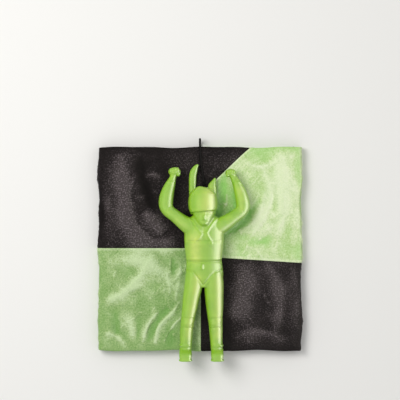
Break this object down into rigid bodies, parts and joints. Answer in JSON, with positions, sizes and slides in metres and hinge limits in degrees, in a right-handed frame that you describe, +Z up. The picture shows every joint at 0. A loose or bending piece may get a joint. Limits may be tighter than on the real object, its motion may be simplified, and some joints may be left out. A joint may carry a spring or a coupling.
{
  "type": "toy parachute",
  "caption": "Toy parachute, packed: a moulded parachutist with raised arms lies on its folded black and green checked canopy, tied to it by a tether.",
  "frame": {"origin": "on the surface it lies on, under the middle of the toy's bounding box without the tether", "axes": "+Z up out of the packet's top ply, +Y from the parachutist's feet to its head, +X to the right as seen from above with the head up"},
  "size_m": [0.1448, 0.1567, 0.0299],
  "materials": {
    "black_cloth": "thin woven nylon, charcoal black, soft speckled sheen",
    "green_cloth": "thin woven nylon, pale green, slightly see-through and creased",
    "hem_tape": "folded woven binding tape, black, stitched",
    "net": "grey knitted net",
    "suspension_line": "thin twisted line",
    "tether_cord": "round braided cord, black",
    "lime_plastic": "soft moulded plastic, lime green, waxy gloss"
  },
  "bodies": {
    "canopy_pack": {"panel_black_head_left": "black_cloth", "panel_green_head_right": "green_cloth", "panel_green_foot_left": "green_cloth", "panel_black_foot_right": "black_cloth", "hem_head": "hem_tape", "hem_foot": "hem_tape", "net_head": "net", "net_foot": "net", "net_left": "net", "net_right": "net", "line_left_1": "suspension_line", "line_left_2": "suspension_line", "line_left_3": "suspension_line", "line_left_4": "suspension_line", "line_right_1": "suspension_line", "line_right_2": "suspension_line", "line_right_3": "suspension_line", "line_right_4": "suspension_line", "gather_knot": "suspension_line", "tether_inner": "tether_cord"},
    "flap_left": {"flap_black_head_left": "black_cloth", "flap_green_foot_left": "green_cloth", "hem_side_left": "hem_tape", "hem_head_left": "hem_tape", "hem_foot_left": "hem_tape"},
    "flap_right": {"flap_green_head_right": "green_cloth", "flap_black_foot_right": "black_cloth", "hem_side_right": "hem_tape", "hem_head_right": "hem_tape", "hem_foot_right": "hem_tape"},
    "parachutist": {"figure": "lime_plastic", "tether_bend": "tether_cord", "tether_outer": "tether_cord", "tether_knot": "tether_cord", "tether_loop": "tether_cord"}
  },
  "joints": [
    {"name": "flap_left_fold", "type": "hinge", "parent": "canopy_pack", "child": "flap_left", "pos_m": [-0.07254, 0, 0.00435], "axis": [0, 1, 0], "range_deg": [0, 178]},
    {"name": "flap_right_fold", "type": "hinge", "parent": "canopy_pack", "child": "flap_right", "pos_m": [0.07254, 0, 0.00435], "axis": [0, -1, 0], "range_deg": [0, 178]},
    {"name": "tether_lift", "type": "hinge", "parent": "canopy_pack", "child": "parachutist", "pos_m": [0, 0.07647, 0.00595], "axis": [-1, 0, 0], "range_deg": [0, 120], "deforming": ["tether_bend"]}
  ]
}
